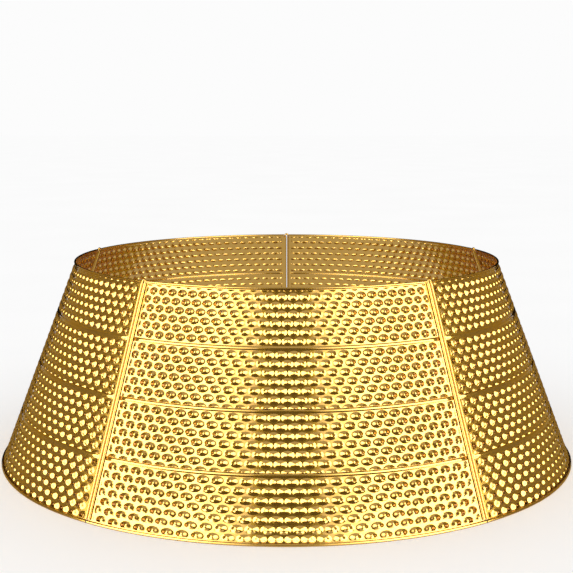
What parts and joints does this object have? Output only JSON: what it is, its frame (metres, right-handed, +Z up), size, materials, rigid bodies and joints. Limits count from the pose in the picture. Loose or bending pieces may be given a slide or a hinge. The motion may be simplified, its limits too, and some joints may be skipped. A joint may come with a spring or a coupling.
{
  "type": "tree collar",
  "caption": "Leaning ring of hinged sheet-metal panels with embossed dimples, pressed ribs and rolled rims, which hides a tree stand.",
  "frame": {"origin": "middle of the ring, on the floor", "axes": "+Z up; -Y is the front, the middle of one panel; the hinge seam that opens is at +Y"},
  "size_m": [0.7622, 0.7622, 0.2634],
  "materials": {
    "gold_sheet": "polished",
    "gold_pin": "polished",
    "rim_wire": "drawn"
  },
  "bodies": {
    "front_panel": {"panel_front": "gold_sheet", "foot_wire_front": "rim_wire", "top_wire_front": "rim_wire"},
    "right_panel": {"panel_right": "gold_sheet", "foot_wire_right": "rim_wire", "top_wire_right": "rim_wire"},
    "back_right_panel": {"panel_back_right": "gold_sheet", "foot_wire_back_right": "rim_wire", "top_wire_back_right": "rim_wire"},
    "back_left_panel": {"panel_back_left": "gold_sheet", "foot_wire_back_left": "rim_wire", "top_wire_back_left": "rim_wire"},
    "left_panel": {"panel_left": "gold_sheet", "foot_wire_left": "rim_wire", "top_wire_left": "rim_wire"},
    "front_right_pin": {"hinge_pin_front_right": "gold_pin"},
    "back_right_pin": {"hinge_pin_back_right": "gold_pin"},
    "back_pin": {"hinge_pin_back": "gold_pin"},
    "back_left_pin": {"hinge_pin_back_left": "gold_pin"},
    "front_left_pin": {"hinge_pin_front_left": "gold_pin"}
  },
  "joints": [
    {"name": "front_right_hinge", "type": "hinge", "parent": "front_panel", "child": "right_panel", "pos_m": [0.22372, -0.30426, 0.00385], "axis": [0.211, -0.2905, -0.9333], "range_deg": [0, 85]},
    {"name": "back_right_hinge", "type": "hinge", "parent": "right_panel", "child": "back_right_panel", "pos_m": [0.3585, 0.11875, 0.00385], "axis": [0.3415, 0.111, -0.9333], "range_deg": [0, 85]},
    {"name": "front_left_hinge", "type": "hinge", "parent": "front_panel", "child": "left_panel", "pos_m": [-0.22372, -0.30426, 0.00385], "axis": [0.211, 0.2905, 0.9333], "range_deg": [0, 85]},
    {"name": "back_left_hinge", "type": "hinge", "parent": "left_panel", "child": "back_left_panel", "pos_m": [-0.3585, 0.11875, 0.00385], "axis": [0.3415, -0.111, 0.9333], "range_deg": [0, 85]},
    {"name": "front_right_pin_lift", "type": "slide", "parent": "front_panel", "child": "front_right_pin", "axis": [-0.211, 0.2905, 0.9333], "range_m": [0, 0.274]},
    {"name": "back_right_pin_lift", "type": "slide", "parent": "right_panel", "child": "back_right_pin", "axis": [-0.3415, -0.111, 0.9333], "range_m": [0, 0.274]},
    {"name": "front_left_pin_lift", "type": "slide", "parent": "front_panel", "child": "front_left_pin", "axis": [0.211, 0.2905, 0.9333], "range_m": [0, 0.274]},
    {"name": "back_left_pin_lift", "type": "slide", "parent": "left_panel", "child": "back_left_pin", "axis": [0.3415, -0.111, 0.9333], "range_m": [0, 0.274]},
    {"name": "back_pin_lift", "type": "slide", "parent": "back_left_panel", "child": "back_pin", "axis": [0, -0.3591, 0.9333], "range_m": [0, 0.274]}
  ]
}
